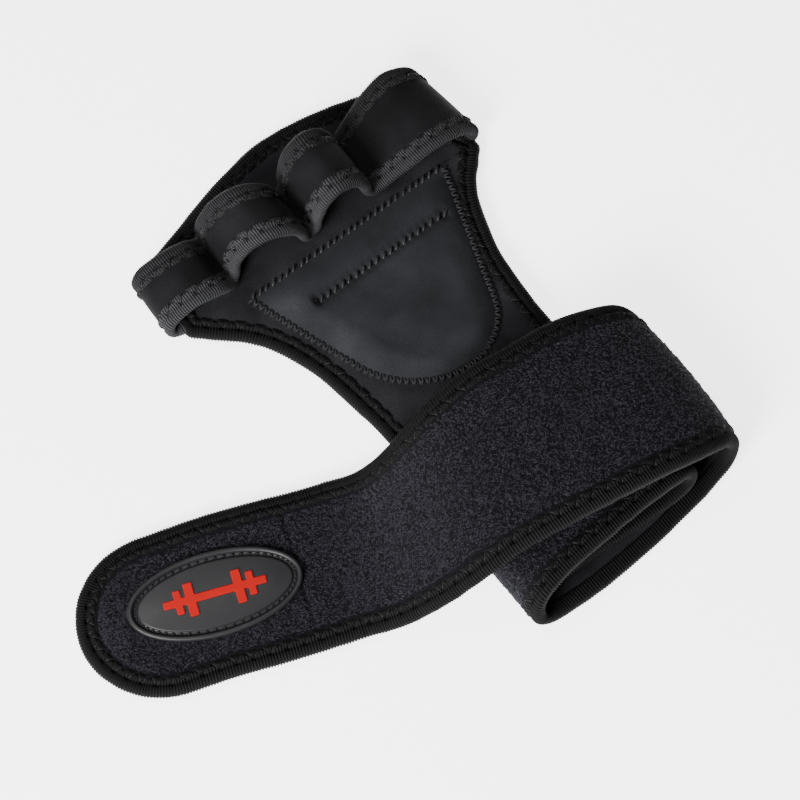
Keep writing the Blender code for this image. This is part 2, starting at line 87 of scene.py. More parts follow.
# Pad: each side as x at y = 0, slope, and the width and start of its rounding into the heel.
PAD_HEEL = -6.4
PAD_TOP = 56.0
PAD_SIDES = ((0.5, -0.349, 20.0, 15.0), (42.0, 0.322, -14.0, 8.0))
PAD_HEIGHT = 4.6
PAD_SHOULDER = 10.5
CHANNEL_Y = 41.3
CHANNEL_X = (-5.0, 52.0)
CHANNEL_DEPTH = 2.4
CHANNEL_WIDTH = 2.0
PUCKER_DEPTH = 0.22
PUCKER_WIDTH = 1.9
PAD_TOP_ROW = (-19.5, 60.5)

# Grip patch: its part of the panel's width and length, its pebbles and its thickness.
GRIP_ACROSS = (0.05, 0.95)
GRIP_ALONG = (0.30, 0.90)
PEBBLE_PITCH = 2.4
PEBBLE_HEIGHT = 0.35
GRIP_BOTTOM = 1.3

# Finger strip edges (x, y, z) of its middle surface, left to right: left loop, two tall loops, right loop.
STRIP_NEAR = (
    (-42.4, 59.5, 3.4), (-45.6, 60.3, 4.0), (-46.9, 60.8, 7.0), (-44.4, 61.8, 10.4), (-36.0, 61.4, 13.8),
    (-27.5, 60.6, 13.0), (-21.6, 61.6, 8.0),
    (-18.4, 63.4, 9.2), (-16.6, 64.8, 14.4), (-11.6, 64.6, 20.0), (-4.6, 62.6, 22.8), (2.4, 60.8, 20.2),
    (6.2, 60.0, 14.4), (7.4, 59.9, 9.8),
    (10.2, 60.4, 7.6),
    (12.9, 60.9, 9.8), (14.0, 61.4, 15.0), (17.4, 61.8, 20.6), (23.4, 62.0, 23.4), (29.6, 61.6, 20.6),
    (32.8, 61.0, 14.6), (34.0, 60.6, 9.4),
    (37.4, 60.2, 7.7),
    (46.0, 59.6, 11.0), (54.0, 58.9, 14.6), (63.0, 58.6, 15.6), (71.4, 58.2, 13.2),
    (75.4, 57.4, 8.8), (74.4, 57.2, 4.4), (70.4, 57.9, 3.4),
)
STRIP_FAR = (
    (-42.4, 84.0, 3.4), (-45.0, 84.2, 4.0), (-46.1, 84.5, 7.4), (-43.4, 84.9, 11.2), (-36.0, 84.2, 14.6),
    (-28.0, 83.4, 13.6), (-21.8, 83.6, 8.0),
    (-18.6, 87.2, 9.0), (-16.8, 87.0, 15.0), (-12.0, 86.4, 21.4), (-5.0, 84.9, 25.2), (2.2, 82.4, 22.6),
    (6.2, 80.8, 15.4), (7.4, 81.0, 9.8),
    (10.2, 82.0, 7.6),
    (12.9, 83.4, 9.8), (13.8, 84.8, 15.6), (17.2, 86.4, 22.0), (23.4, 86.8, 25.8), (29.8, 86.0, 22.4),
    (33.0, 85.0, 15.4), (34.2, 85.0, 9.4),
    (37.2, 86.2, 7.7),
    (45.2, 89.0, 9.8), (52.6, 91.2, 12.4), (60.8, 92.2, 14.2), (68.0, 90.6, 12.8),
    (71.0, 88.7, 8.8), (70.4, 87.4, 4.6), (67.6, 86.8, 3.4),
)

# Wrist strap edges (x, y, z) of its middle surface, from the wrist seam to the tongue.
STRAP_NEAR = (
    (1.0, -82.5, 7.6), (20.0, -83.0, 7.6), (40.0, -83.7, 7.6), (49.5, -83.8, 7.8),
    (54.2, -83.2, 9.7), (56.0, -82.4, 13.9), (54.0, -82.0, 18.2), (48.5, -82.2, 20.6),
    (34.0, -82.4, 21.0), (16.0, -83.6, 20.8), (3.0, -84.8, 20.4), (-7.0, -86.9, 18.0),
    (-10.6, -88.9, 12.2), (-9.2, -90.3, 6.0), (-2.4, -91.1, 2.8),
    (12.2, -91.6, 2.4), (34.4, -90.2, 2.4), (50.4, -88.0, 2.4), (63.4, -85.8, 2.9),
    (70.5, -84.4, 6.4), (73.0, -82.8, 13.6), (70.6, -82.2, 21.0), (64.5, -82.2, 26.2),
    (55.0, -81.6, 29.8), (43.0, -79.8, 32.0), (29.0, -77.8, 33.0), (13.0, -75.4, 32.6),
    (-4.0, -72.6, 30.0), (-18.0, -71.3, 25.4), (-32.3, -69.0, 17.6), (-46.0, -64.8, 9.2), (-58.0, -59.2, 4.3),
    (-69.3, -55.2, 3.5), (-80.3, -51.4, 3.5), (-97.7, -45.0, 3.5), (-114.4, -39.8, 3.5),
)
STRAP_FAR = (
    (2.0, -22.3, 7.6), (20.0, -22.3, 7.6), (40.0, -22.3, 7.6), (49.5, -22.4, 7.8),
    (54.2, -22.6, 9.7), (56.0, -22.8, 13.6), (54.0, -22.9, 17.6), (48.5, -23.0, 19.8),
    (34.0, -23.0, 20.0), (16.0, -23.8, 19.6), (0.0, -25.6, 19.0), (-9.0, -27.0, 17.2),
    (-13.2, -28.4, 11.4), (-11.0, -30.0, 4.8), (-4.0, -31.0, 2.5),
    (10.0, -31.2, 2.4), (33.0, -29.4, 2.4), (49.0, -27.4, 2.4), (62.0, -26.2, 2.9),
    (69.4, -26.8, 6.6), (72.4, -28.2, 13.6), (71.6, -26.4, 20.8), (67.7, -22.7, 26.1),
    (58.9, -19.6, 29.6), (46.2, -16.8, 32.0), (30.0, -15.4, 33.0), (15.0, -13.8, 32.6),
    (1.0, -14.2, 29.4), (-9.4, -15.2, 23.6), (-19.0, -15.4, 15.0), (-27.5, -13.6, 8.0), (-38.5, -8.5, 4.2),
    (-49.9, -4.2, 3.5), (-60.5, 0.2, 3.5), (-77.7, 6.4, 3.5), (-95.5, 11.6, 3.5),
)
# The strap's outward bulge midway across it, as (place, height).
STRAP_CROWN = ((18.0, 0.0), (20.0, 2.0), (22.0, 1.4), (26.0, 1.0), (29.0, 2.0), (31.0, 0.8), (32.0, 0.0))
# Places along the strap where its cloth and bindings are cut into pieces that can follow the joints.
INNER_CUT = 13.5
FOLD_CUT = 21.6
TONGUE_CUT = 31.0
STRAIGHT_END = 35.0

# Tongue end, hook patch, badge and its mark, in the tongue's own directions.
ALONG = np.array((-0.9360, 0.3520, 0.0))
ACROSS = np.array((0.3520, 0.9360, 0.0))
UP = np.array((0.0, 0.0, 1.0))
TONGUE_Z = 3.5
END_CENTRE = np.array((-104.97, -14.08, 0.0))
END_HALF_WIDTH = 27.37
END_LENGTH = 28.5
HOOK_SIZE = (48.0, 37.0)
HOOK_MARGIN = 3.0
HOOK_PITCH = 1.7
HOOK_RADIUS = 0.15
HOOK_CENTRE = np.array((-82.5, -19.2, 0.0))
HOOK_SEAM = 22.5
SEAM_DEPTH = 0.6
BADGE_CENTRE = np.array((-88.1, -19.0, 0.0))
BADGE_SEMI = (28.9, 14.2)
MARK_QUARTER = ((6.4, 1.3), (6.4, 5.6), (9.4, 5.6), (9.4, 1.3), (10.8, 1.3), (10.8, 4.0), (13.2, 4.0),
                (13.2, 1.3), (17.0, 1.3))
MARK_THICKNESS = 0.7
MARK_LEVEL = 1.8
BADGE_DASHES = 56

# Knit ribs, seams and pile. Needle rows are distances inside an edge, and levels are heights of a seam.
RIB_PITCH = 1.00
STRIP_RIB_PITCH = 0.82
RIB_STEPS = 4
RIB_HEIGHT = 0.45
TAPE_REACH = 7.4
NEEDLE_ROWS = (3.9, 7.0)
STITCH_PITCH = 5.6
OUTLINE_ROWS = (-1.7, 1.2)
OUTLINE_PITCH = 2.3
OUTLINE_THREAD = 0.46
ROPE_ROWS = (-1.1, 1.1)
ROPE_THREAD = 0.52
SEAM_LEVEL = 2.1
STRIP_SEAM_LEVEL = 1.75
OUTLINE_LEVEL = 2.3
PAD_TOP_LEVEL = 2.4
CHANNEL_LEVEL = NEOPRENE / 2.0 + PAD_HEIGHT - 1.9
FLEECE_STEP = 0.5
STRAP_COLUMNS = 97
PILE_HEIGHT = 0.55
PILE_CELLS = (1.1, 0.8, 7.0)
CURLS_PER_MM2 = 2.8
CURL_RADIUS = 0.10
CURL_SIZES = (0.24, 0.50)
CURL_TURN = 0.9
CURL_LEAN = 0.9

# Scale at which Blender's wave texture has one band to the unit.
ONE_BAND = 0.314


# ---------------------------------------------------------------- numbers

def unit(vectors):
    """Return vectors of length one."""
    return vectors / np.maximum(np.linalg.norm(vectors, axis=-1, keepdims=True), 1e-12)


def ease(value, low, high):
    """Return 0 below low, 1 above high and a smooth step between."""
    part = np.clip((value - low) / (high - low), 0.0, 1.0)
    return part * part * (3.0 - 2.0 * part)


def to_frame(points):
    """Turn layout millimetres into metres of the frame."""
    return (np.asarray(points, float) - CENTRE) * MM


def spline(points, places):
    """Return points of a Catmull-Rom curve at places counted in layout points."""
    points = np.asarray(points, float)
    places = np.asarray(places, float)
    index = np.clip(np.floor(places).astype(int), 0, len(points) - 2)
    part = (places - index)[..., None]
    padded = np.vstack([2.0 * points[0] - points[1], points, 2.0 * points[-1] - points[-2]])
    p0, p1, p2, p3 = (padded[index + i] for i in range(4))
    square = (2.0 * p0 - 5.0 * p1 + 4.0 * p2 - p3) * part ** 2
    cube = (3.0 * p1 - p0 - 3.0 * p2 + p3) * part ** 3
    return 0.5 * (2.0 * p1 + (p2 - p0) * part + square + cube)


def lengths_of(line):
    """Return the length from the start to each point of a line."""
    steps = np.linalg.norm(np.diff(line, axis=0), axis=1)
    return np.concatenate([[0.0], np.cumsum(steps)])


def noise(x, y, seed):
    """Return smooth noise from -1 to 1 with one cell to the unit."""
    size = 256
    table = np.random.default_rng(seed).uniform(-1.0, 1.0, (size, size))
    cell_x = np.floor(x).astype(int)
    cell_y = np.floor(y).astype(int)
    part_x = ease(x - cell_x, 0.0, 1.0)
    part_y = ease(y - cell_y, 0.0, 1.0)

    def row(shift):
        first = table[cell_x % size, (cell_y + shift) % size]
        second = table[(cell_x + 1) % size, (cell_y + shift) % size]
        return first * (1.0 - part_x) + second * part_x

    return row(0) * (1.0 - part_y) + row(1) * part_y


def pile(along, across):
    """Return the height, from 0 to 1, of the pile's ground at places on the cloth in millimetres."""
    coarse, fine, wide = PILE_CELLS
    tufts = np.abs(noise(along / coarse, across / coarse, 12))
    tufts = tufts + np.abs(noise(along / fine + 0.5, across / fine, 13))
    waves = 0.5 * noise(along / wide, across / wide, 14)
    return np.clip(0.25 + 0.55 * tufts + 0.25 * waves, 0.0, 1.0)


# ---------------------------------------------------------------- surfaces

def crown_height(places):
    """Return the strap's outward bulge midway across it."""
    return np.interp(places, [place for place, _ in STRAP_CROWN], [height for _, height in STRAP_CROWN])


def ruled(near, far, places, parts, crowned=False):
    """Return points, unit normals and widths of the surface between two edge curves, parts by place."""
    far_share = parts[..., None]

    def line(at):
        return spline(near, at)[:, None] * (1.0 - far_share) + spline(far, at)[:, None] * far_share

    across = spline(far, places) - spline(near, places)
    normals = unit(np.cross(across[:, None], line(places + PLACE_STEP) - line(places - PLACE_STEP)))
    points = line(places)
    if crowned:
        bulge = crown_height(places)[:, None] * 4.0 * parts * (1.0 - parts)
        points = points + normals * bulge[..., None]
    points[..., 2] = np.maximum(points[..., 2], TAPE_THICKNESS / 2.0)
    return points, normals, np.linalg.norm(across, axis=1)


def even_places(near, far, span, step):
    """Return places along a ruled surface a step apart on its middle line, and their lengths from place 0."""
    dense = np.linspace(0.0, span[1], 4000)
    middle = (spline(near, dense) + spline(far, dense)) / 2.0
    lengths = lengths_of(middle)
    start, stop = np.interp(span, dense, lengths)
    wanted = np.linspace(start, stop, max(int((stop - start) / step), 2) + 1)
    return np.interp(wanted, lengths, dense), wanted


def panel_height(y):
    """Return the height of the panel's middle surface."""
    return PANEL_Z_WRIST + (PANEL_Z_PALM - PANEL_Z_WRIST) * ease(y, RAMP[0], RAMP[1])


def on_panel(flat, height=0.0):
    """Lift flat (x, y) points to a height over the panel's middle surface."""
    return np.concatenate([flat, (panel_height(flat[..., 1]) + height)[..., None]], axis=-1)


def panel_normal(flat):
    """Return the panel's unit normals at flat points."""
    slope = panel_height(flat[..., 1] + 0.5) - panel_height(flat[..., 1] - 0.5)
    return unit(np.stack([np.zeros_like(slope), -slope, np.ones_like(slope)], axis=-1))


def beside(line, inset, turn):
    """Return a flat line moved sideways, to its left for turn 1 and to its right for turn -1."""
    direction = unit(np.gradient(line, axis=0))
    return line + np.stack([-direction[:, 1], direction[:, 0]], axis=1) * turn * inset


def panel_side(points, places, inset, turn):
    """Return points inset from one of the panel's edges."""
    direction = unit(spline(points, places + PLACE_STEP) - spline(points, places - PLACE_STEP))
    return spline(points, places) + np.stack([-direction[:, 1], direction[:, 0]], axis=1) * turn * inset


def panel_flat(across, along, inset):
    """Return a grid of flat points of the panel's cloth, along by across."""
    last = len(PANEL_LEFT) - 1
    left = panel_side(PANEL_LEFT, along * last, inset, -1.0)
    right = panel_side(PANEL_RIGHT, along * last, inset, 1.0)
    start, stop = FINGER_TAPE_SPAN
    finger = panel_side(PANEL_FINGER, start + (stop - start) * across, inset, -1.0)
    part = across[None, :, None]
    grid = left[:, None] * (1.0 - part) + right[:, None] * part
    pull = ease(along, FINGER_BLEND, 2.0 - FINGER_BLEND)[:, None, None] * 2.0
    return grid + (finger - grid[-1])[None] * pull


def cloth_parts(near, far, places, share):
    """Return where a cloth's columns lie between two edge curves, as parts of the width at each place."""
    width = np.linalg.norm(spline(far, places) - spline(near, places), axis=1)
    margin = (CLOTH_INSET / width)[:, None]
    return margin + (1.0 - 2.0 * margin) * share


class Edge:
    """An edge by length along it: its own line, the line RAIL inside it, and the cloth's normal."""

    def __init__(self, line, inner, normal):
        self.lengths = lengths_of(line)
        self.tables = (line, inner, normal)

    @property
    def length(self):
        return self.lengths[-1]

    def at(self, along, inset, height):
        """Return points by length along the edge, distance inside it and height over the cloth's middle."""
        along, inset, height = np.broadcast_arrays(along, inset, height)
        line, inner, normal = (
            np.stack([np.interp(along, self.lengths, table[:, i]) for i in range(3)], axis=-1)
            for table in self.tables)
        return line + (inner - line) * (inset / RAIL)[..., None] + normal * height[..., None]

    def normal_at(self, along):
        """Return unit normals at lengths along the edge."""
        table = self.tables[2]
        return unit(np.stack([np.interp(along, self.lengths, table[:, i]) for i in range(3)], axis=-1))


def ruled_rails(near, far, places, far_side, crowned=False):
    """Return the edge line, the line RAIL inside it and the normals along one side of a ruled surface."""
    width = np.linalg.norm(spline(far, places) - spline(near, places), axis=1)
    parts = np.stack([np.zeros_like(width), RAIL / width], axis=1)
    if far_side:
        parts = 1.0 - parts
    points, normals, _ = ruled(near, far, places, parts, crowned)
    return points[:, 0], points[:, 1], normals[:, 1]


def strap_edge():
    """Return the strap's whole edge: along the near side, round the tongue and back along the far side."""
    places = np.linspace(0.0, STRAIGHT_END, EDGE_SAMPLES)
    near = ruled_rails(STRAP_NEAR, STRAP_FAR, places, False, True)
    far = ruled_rails(STRAP_NEAR, STRAP_FAR, places, True, True)
    turn = np.linspace(-math.pi / 2.0, math.pi / 2.0, 200)[1:-1, None]

    def end(inset):
        forward = ALONG * (END_LENGTH - inset) * np.cos(turn)
        return END_CENTRE + forward + ACROSS * (END_HALF_WIDTH - inset) * np.sin(turn) + UP * TONGUE_Z

    ends = (end(0.0), end(RAIL), np.tile(UP, (len(turn), 1)))
    return Edge(*(np.concatenate([a, b, c[::-1]]) for a, b, c in zip(near, ends, far)))


def strap_lengths(edge):
    """Return the edge's length at each cut, along the near side and then back along the far side."""
    places = np.linspace(0.0, STRAIGHT_END, EDGE_SAMPLES)
    cuts = (INNER_CUT, FOLD_CUT, TONGUE_CUT)
    near = [np.interp(cut, places, edge.lengths[:len(places)]) for cut in cuts]
    far = [np.interp(-cut, -places[::-1], edge.lengths[-len(places):]) for cut in reversed(cuts)]
    return near + far


def flat_edge(line, turn):
    """Return the Edge of a flat line on the panel, with its inside to the left (1) or the right (-1)."""
    inner = beside(line, RAIL, turn)
    return Edge(on_panel(line), on_panel(inner), panel_normal(line))


def pad_side(y, side):
    """Return x of one side of the pad's outline."""
    start, slope, round_width, round_from = side
    part = np.maximum(round_from - y, 0.0) / (round_from - PAD_HEEL)
    return start + slope * y + round_width * (1.0 - np.sqrt(np.maximum(1.0 - part * part, 0.0)))


def pad_rows(count):
    """Return y places along the pad, closer together where the heel turns."""
    bend = PAD_SIDES[0][3]
    heel = bend - (bend - PAD_HEEL) * np.cos(np.linspace(0.0, math.pi / 2.0, count // 3))
    return np.concatenate([heel, np.linspace(bend, PAD_TOP, count)[1:]])


def shoulder(distance):
    """Return the pad's share of its full height at a distance inside its outline."""
    part = 1.0 - np.clip(distance / PAD_SHOULDER, 0.0, 1.0)
    return (1.0 - part * part) ** 1.15


# ---------------------------------------------------------------- meshes

def new_object(name, data):
    """Make an object and put it in the scene."""
    made = bpy.data.objects.new(name, data)
    bpy.context.scene.collection.objects.link(made)
    return made


def add_mesh(name, points, faces, materials, face_material=None, uv=None, end_rings=None):
    """Make a smooth mesh object from layout points, turned inside out if its volume comes out negative.

    Points below the floor are pressed flat on it.
    end_rings numbers the first and last rings of a tube, whose edges stay sharp.
    """
    corners = points[faces[:, :3]]
    volume = np.einsum("ij,ij->i", corners[:, 0], np.cross(corners[:, 1], corners[:, 2])).sum()
    other = points[faces[:, [0, 2, 3]]]
    volume += np.einsum("ij,ij->i", other[:, 0], np.cross(other[:, 1], other[:, 2])).sum()
    if volume < 0.0:
        faces = faces[:, ::-1]
    points = points * (1.0, 1.0, 0.0) + UP * np.maximum(points[:, 2:], 0.0)
    mesh = bpy.data.meshes.new(name)
    mesh.from_pydata(to_frame(points).tolist(), [], faces.tolist())
    for material in materials:
        mesh.materials.append(material)
    mesh.polygons.foreach_set("use_smooth", np.ones(len(faces), bool))
    if face_material is not None:
        mesh.polygons.foreach_set("material_index", face_material.astype(np.int32))
    if uv is not None:
        layer = mesh.uv_layers.new(name="millimetres")
        layer.data.foreach_set("uv", uv[faces.ravel()].astype(np.float32).ravel())
    mesh.update()
    if end_rings is not None:
        ends = np.zeros(len(mesh.edges) * 2, np.int32)
        mesh.edges.foreach_get("vertices", ends)
        ring = end_rings[ends.reshape(-1, 2)]
        mesh.edges.foreach_set("use_edge_sharp", (ring[:, 0] == ring[:, 1]) & (ring[:, 0] != 0))
    return new_object(name, mesh)


def tube(name, rings, materials, uv=None, lower_from=None):
    """Make a closed skin through rings of points, with flat ends; columns past lower_from take material 1."""
    count, size = rings.shape[:2]
    index = np.arange(count * size).reshape(count, size)
    after = np.roll(index, -1, axis=1)
    sides = np.stack([index[:-1], after[:-1], after[1:], index[1:]], axis=-1).reshape(-1, 4)
    caps = []
    for ring in (index[0][::-1], index[-1]):
        for i in range(size // 2 - 1):
            caps.append((ring[i], ring[i + 1], ring[size - 2 - i], ring[size - 1 - i]))
    faces = np.concatenate([sides, np.array(caps)])
    face_material = None
    if lower_from is not None:
        column = np.tile(np.arange(size), count - 1)
        face_material = np.concatenate([column >= lower_from - 1, np.zeros(len(caps), bool)])
    flat_uv = None if uv is None else uv.reshape(-1, 2)
    end_rings = np.zeros((count, size), int)
    end_rings[0] = 1
    end_rings[-1] = 2
    return add_mesh(name, rings.reshape(-1, 3), faces, materials, face_material, flat_uv, end_rings.ravel())


def slab(name, top, bottom, materials, along, across):
    """Make a closed cloth from its upper and lower grids, with the upper side in the first material."""
    rings = np.concatenate([top, bottom[:, ::-1]], axis=1)
    coordinates = np.stack(np.broadcast_arrays(along[:, None], across), axis=-1)
    uv = np.concatenate([coordinates, coordinates[:, ::-1]], axis=1)
    return tube(name, rings, materials, uv, top.shape[1])


def threads(name, paths, normals, radii, material, sides=6):
    """Make many thin tubes at once: paths (number, points, 3), with a radius at each point."""
    tangent = unit(np.gradient(paths, axis=1))
    side = unit(np.cross(normals, tangent))
    rise = np.cross(tangent, side)
    turn = np.linspace(0.0, 2.0 * math.pi, sides, endpoint=False)
    ring = side[:, :, None] * np.cos(turn)[:, None] + rise[:, :, None] * np.sin(turn)[:, None]
    points = paths[:, :, None] + ring * np.broadcast_to(radii, paths.shape[:2])[..., None, None]
    number, steps = paths.shape[:2]
    index = np.arange(number * steps * sides).reshape(number, steps, sides)
    after = np.roll(index, -1, axis=2)
    faces = np.stack([index[:, :-1], after[:, :-1], after[:, 1:], index[:, 1:]], axis=-1).reshape(-1, 4)
    first, last = index[:, 0], index[:, -1, ::-1]
    caps = [ring_ends[:, [0, i, i + 1, i + 2]] for ring_ends in (first[:, ::-1], last[:, ::-1])
            for i in range(1, sides - 2, 2)]
    return add_mesh(name, points.reshape(-1, 3), np.concatenate([faces, *caps]), [material])


def tape_section(thickness):
    """Return (inset, height, normal inset, normal height) round a binding folded over an edge."""
    round_to = 2.2
    half = thickness / 2.0
    section = [(inset, half, 0.0, 1.0) for inset in np.linspace(TAPE_REACH, round_to + 0.35, 14)]
    for turn in np.linspace(math.pi / 2.0, -math.pi / 2.0, 9):
        direction = unit(np.array((-math.cos(turn) / round_to, math.sin(turn) / half)))
        section.append((round_to * (1.0 - math.cos(turn)), half * math.sin(turn), *direction))
    section += [(inset, -half, 0.0, -1.0) for inset in (3.2, 4.4, TAPE_WIDTH)]
    return np.array(section).T


def sewn_relief(along, inset):
    """Return the height that a seam gives a binding: a groove with needle holes, then pinched beads."""
    outer, inner = NEEDLE_ROWS
    turn = math.pi * along / STITCH_PITCH
    holes = np.cos(turn) ** 8
    pinches = np.sin(turn) ** 6
    thread = outer + (inner - outer) * np.abs((along / STITCH_PITCH + 0.5) % 1.0 - 0.5) * 2.0
    bead = 0.40 * np.exp(-((inset - (outer + inner) / 2.0) / 0.9) ** 2)
    groove = np.exp(-((inset - outer) / 0.45) ** 2) * (0.35 + 0.75 * holes)
    pinch = 0.9 * np.exp(-((inset - inner) / 0.8) ** 2) * pinches
    tight = 0.45 * np.exp(-((inset - thread) / 0.4) ** 2)
    return bead - groove - pinch - tight - 0.9 * ease(inset, inner - 0.4, TAPE_REACH)


def binding(name, edge, span, thickness, material, pitch=RIB_PITCH):
    """Make a ribbed knit binding over a length of an edge, with a puckered seam where it is sewn."""
    start, stop = (round(value / pitch) * pitch for value in span)
    count = round((stop - start) / pitch) * RIB_STEPS + 1
    along = np.linspace(start, stop, count)[:, None]
    inset, height, out_inset, out_height = tape_section(thickness)
    upper = (height > 0.9 * thickness / 2.0) & (inset > 2.5)
    rise = 0.10 * noise(along / 11.0, inset[None] / 9.0, 23) + sewn_relief(along, inset[None]) * upper
    lean = 0.5 * upper * (inset - NEEDLE_ROWS[0]) * np.sin(2.0 * math.pi * along / STITCH_PITCH)
    ribs = np.abs(np.sin(math.pi * (along + lean * ease(inset, *NEEDLE_ROWS)) / pitch)) ** 0.7
    rise = rise + RIB_HEIGHT * (ribs * (1.0 + 0.25 * noise(along / 4.0, inset[None] / 6.0, 21)) - 1.0)
    rings = edge.at(along, inset + out_inset * rise, height + out_height * rise)
    around = np.cumsum(np.hypot(np.diff(inset, prepend=inset[0]), np.diff(height, prepend=height[0])))
    uv = np.stack(np.broadcast_arrays(along, around), axis=-1)
    return tube(name, rings, [material], uv)


def zigzag(name, edge, span, height, material, pitch=STITCH_PITCH, rows=NEEDLE_ROWS, radius=0.20,
           sink=0.45, one_way=False):
    """Sew a zigzag along an edge: short threads that rise from one needle hole and dip at the next.

    With one_way, every leg slants the same way, as in a thick topstitch.
    """
    start, stop = (round(value / pitch) * pitch for value in span)
    number = max(int(round((stop - start) / pitch * 2.0)), 1)
    part = np.linspace(0.0, 1.0, 6)[None]
    leg = np.arange(number)[:, None]
    wobble = np.random.default_rng(31 + number).uniform(-1.0, 1.0, (4, number, 1))
    along = start + (leg + 0.06 + part * 0.88) * pitch / 2.0 + 0.05 * pitch * wobble[0]
    reach = (rows[1] - rows[0]) * part
    inset = np.where((leg % 2 == 0) | one_way, rows[0] + reach, rows[1] - reach) + 0.08 * wobble[1]
    arch = np.sin(math.pi * part)
    lift = height + (sink + radius) * arch ** 0.6 - sink + 0.06 * wobble[2]
    paths = edge.at(along, inset, lift)
    radii = radius * (1.0 + 0.12 * wobble[3][:, 0])[:, None] * (0.55 + 0.45 * arch)
    return threads(name, paths, edge.normal_at(along), radii, material)


# ---------------------------------------------------------------- materials

def new_material(name, roughness, sheen=0.0, sheen_roughness=0.4, specular=0.25):
    """Return a material, its node tree and its shader."""
    material = bpy.data.materials.new(name)
    material.use_nodes = True
    tree = material.node_tree
    shader = tree.nodes["Principled BSDF"]
    shader.inputs["Roughness"].default_value = roughness
    shader.inputs["Sheen Weight"].default_value = sheen
    shader.inputs["Sheen Roughness"].default_value = sheen_roughness
    shader.inputs["Specular IOR Level"].default_value = specular
    return material, tree, shader


def add_node(tree, kind, inputs=None, **settings):
    """Add a node, set its properties and link or fill its inputs."""
    made = tree.nodes.new(kind)
    for key, value in settings.items():
        setattr(made, key, value)
    for key, value in (inputs or {}).items():
        if isinstance(value, bpy.types.NodeSocket):
            tree.links.new(value, made.inputs[key])
        else:
            made.inputs[key].default_value = value
    return made


def millimetre_coordinates(tree, from_uv):
    """Return a socket with coordinates in millimetres, along the cloth or in space."""
    coordinate = add_node(tree, "ShaderNodeTexCoord")
    if from_uv:
        return coordinate.outputs["UV"]
    scale = (1.0 / MM, 1.0 / MM, 1.0 / MM)
    mapping = add_node(tree, "ShaderNodeMapping", {"Vector": coordinate.outputs["Object"], "Scale": scale})
    return mapping.outputs["Vector"]


def shade(tree, shader, factor, dark, light):
    """Colour the shader between two greys or colours by a factor."""
    mix = add_node(tree, "ShaderNodeMix", {"Factor": factor}, data_type="RGBA")
    mix.inputs["A"].default_value = (*dark, 1.0)
    mix.inputs["B"].default_value = (*light, 1.0)
    tree.links.new(mix.outputs["Result"], shader.inputs["Base Color"])


def raise_surface(tree, shader, height, strength, distance):
    """Bump the shader's normal with a height socket; distance is in millimetres."""
    inputs = {"Height": height, "Strength": strength, "Distance": distance * MM}
    bump = add_node(tree, "ShaderNodeBump", inputs)
    tree.links.new(bump.outputs["Normal"], shader.inputs["Normal"])


def noise_texture(tree, place, scale, detail, **more):
    """Add a noise texture and return its factor."""
    inputs = {"Vector": place, "Scale": scale, "Detail": detail, **more}
    return add_node(tree, "ShaderNodeTexNoise", inputs).outputs["Fac"]


def wave_texture(tree, place, pitch, direction, distortion, detail=2.0):
    """Add a texture of bands that are a pitch apart and return its factor."""
    inputs = {"Vector": place, "Scale": ONE_BAND / pitch, "Distortion": distortion, "Detail": detail,
              "Detail Scale": 2.0}
    return add_node(tree, "ShaderNodeTexWave", inputs, bands_direction=direction).outputs["Fac"]


def combine(tree, operation, first, second):
    """Return the product or the sum of two factors."""
    return add_node(tree, "ShaderNodeMath", {0: first, 1: second}, operation=operation).outputs[0]


def stretch(tree, value, low, high):
    """Stretch the values from low to high over the range from 0 to 1."""
    inputs = {"Value": value, "From Min": low, "From Max": high}
    return add_node(tree, "ShaderNodeMapRange", inputs).outputs["Result"]


def knit_material(name, dark, light, roughness, sheen, wale=0.55, depth=0.12, from_uv=True):
    """Return knitted cloth: fine columns with slubs and soft patches."""
    material, tree, shader = new_material(name, roughness, sheen, 0.35, specular=0.10)
    place = millimetre_coordinates(tree, from_uv)
    columns = wave_texture(tree, place, wale, "Y", 1.2)
    rows = wave_texture(tree, place, wale * 0.8, "X", 1.6, 1.0)
    slub = noise_texture(tree, place, 1.6, 4.0, Roughness=0.7)
    patch = noise_texture(tree, place, 0.06, 3.0)
    shade(tree, shader, stretch(tree, combine(tree, "MULTIPLY", slub, patch), 0.12, 0.40), dark, light)
    weave = combine(tree, "MULTIPLY", columns, rows)
    raise_surface(tree, shader, combine(tree, "ADD", weave, slub), 0.6, depth)
    return material


def binding_material(name, dark, light, pitch):
    """Return the ribbed binding: yarn grain along each rib over the ribs of the mesh, with painted shade in
    bands at the rib pitch.
    """
    material, tree, shader = new_material(name, 0.72, specular=0.10)
    place = millimetre_coordinates(tree, True)
    stretched = add_node(tree, "ShaderNodeMapping", {"Vector": place, "Scale": (4.0, 1.3, 1.0)})
    grain = noise_texture(tree, stretched.outputs["Vector"], 1.2, 4.0)
    ribs = wave_texture(tree, place, pitch, "X", 0.0)
    # The colour darkens in bands at the rib pitch: painted shade and painted highlight that follow the ribs.
    shade(tree, shader, combine(tree, "MULTIPLY", grain, ribs), dark, light)
    raise_surface(tree, shader, grain, 0.5, 0.15)
    return material


def fleece_material():
    """Return loop pile: its ground painted dark as shade between the curls, with a soft bluish sheen on top.
    """
    material, tree, shader = new_material("loop_pile", 0.85, 0.02, 0.45, specular=0.1)
    shader.inputs["Sheen Tint"].default_value = (0.80, 0.82, 1.0, 1.0)
    place = millimetre_coordinates(tree, True)
    curl = noise_texture(tree, place, 2.0, 3.0, Roughness=0.65, Distortion=1.6)
    fine = noise_texture(tree, place, 4.5, 2.0)
    # The ground's colour is kept far below the pile yarn's: painted shade between the curls.
    shade(tree, shader, stretch(tree, curl, 0.42, 0.68), (0.0012, 0.0011, 0.0018), (0.0080, 0.0076, 0.0106))
    raise_surface(tree, shader, combine(tree, "ADD", curl, fine), 0.9, 0.5)
    return material


